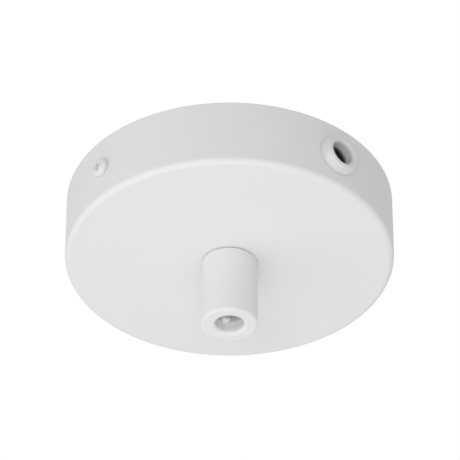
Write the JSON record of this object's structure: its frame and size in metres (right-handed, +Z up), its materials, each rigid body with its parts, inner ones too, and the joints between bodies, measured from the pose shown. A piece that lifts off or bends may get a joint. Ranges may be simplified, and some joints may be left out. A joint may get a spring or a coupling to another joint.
{
  "type": "electrical ceiling rose",
  "caption": "Round steel ceiling canopy over a mounting bracket and terminal block, with a screw-clamped cord grip below and a bushed side cable entry.",
  "frame": {"origin": "centre of the bracket's upper face, in the ceiling plane, midway between the two ceiling slots", "axes": "+Z up into the ceiling; X along the bracket, from one side screw to the other; -Y out through the side cable entry"},
  "size_m": [0.1242, 0.1233, 0.0548],
  "materials": {
    "canopy_coat": "matt white powder coat",
    "screw_paint": "white lacquered steel",
    "grip_plastic": "satin moulded white",
    "bush_plastic": "satin moulded white",
    "screw_nylon": "natural nylon",
    "block_plastic": "natural polyamide",
    "zinc_plate": "bright zinc plate",
    "clamp_screw_steel": "zinc-plated steel",
    "barrel_brass": "drilled brass"
  },
  "bodies": {
    "rose": {"canopy": "canopy_coat", "cord_grip_body": "grip_plastic", "side_entry_bush": "bush_plastic", "terminal_housing": "block_plastic", "mounting_bracket": "zinc_plate", "nipple": "zinc_plate", "nipple_lock_washer": "zinc_plate", "nipple_nut": "zinc_plate", "block_screw_inner": "zinc_plate", "block_screw_outer": "zinc_plate", "earth_washer": "zinc_plate", "live_barrel": "barrel_brass", "neutral_barrel": "barrel_brass", "earth_barrel": "barrel_brass"},
    "live_screw_front_body": {"live_screw_front": "clamp_screw_steel"},
    "live_screw_rear_body": {"live_screw_rear": "clamp_screw_steel"},
    "neutral_screw_front_body": {"neutral_screw_front": "clamp_screw_steel"},
    "neutral_screw_rear_body": {"neutral_screw_rear": "clamp_screw_steel"},
    "earth_screw_front_body": {"earth_screw_front": "clamp_screw_steel"},
    "earth_screw_rear_body": {"earth_screw_rear": "clamp_screw_steel"},
    "side_screw_left_body": {"side_screw_left": "screw_paint"},
    "side_screw_right_body": {"side_screw_right": "screw_paint"},
    "cord_grip_screw_body": {"cord_grip_screw": "screw_nylon"},
    "earth_screw_body": {"earth_screw": "zinc_plate"}
  },
  "joints": [
    {"name": "live_screw_front_travel", "type": "slide", "parent": "rose", "child": "live_screw_front_body", "axis": [0, 0, 1], "range_m": [0, 0.0022]},
    {"name": "live_screw_rear_travel", "type": "slide", "parent": "rose", "child": "live_screw_rear_body", "axis": [0, 0, 1], "range_m": [0, 0.0022]},
    {"name": "neutral_screw_front_travel", "type": "slide", "parent": "rose", "child": "neutral_screw_front_body", "axis": [0, 0, 1], "range_m": [0, 0.0022]},
    {"name": "neutral_screw_rear_travel", "type": "slide", "parent": "rose", "child": "neutral_screw_rear_body", "axis": [0, 0, 1], "range_m": [0, 0.0022]},
    {"name": "earth_screw_front_travel", "type": "slide", "parent": "rose", "child": "earth_screw_front_body", "axis": [0, 0, 1], "range_m": [0, 0.0022]},
    {"name": "earth_screw_rear_travel", "type": "slide", "parent": "rose", "child": "earth_screw_rear_body", "axis": [0, 0, 1], "range_m": [0, 0.0022]},
    {"name": "side_screw_left_travel", "type": "slide", "parent": "rose", "child": "side_screw_left_body", "axis": [-1, 0, 0], "range_m": [0, 0.006]},
    {"name": "side_screw_right_travel", "type": "slide", "parent": "rose", "child": "side_screw_right_body", "axis": [1, 0, 0], "range_m": [0, 0.006]},
    {"name": "cord_grip_screw_travel", "type": "slide", "parent": "rose", "child": "cord_grip_screw_body", "axis": [-0.342, -0.9397, 0], "range_m": [-0.0018, 0.0018]},
    {"name": "earth_screw_travel", "type": "slide", "parent": "rose", "child": "earth_screw_body", "axis": [0, 0, -1], "range_m": [0, 0.003]}
  ]
}
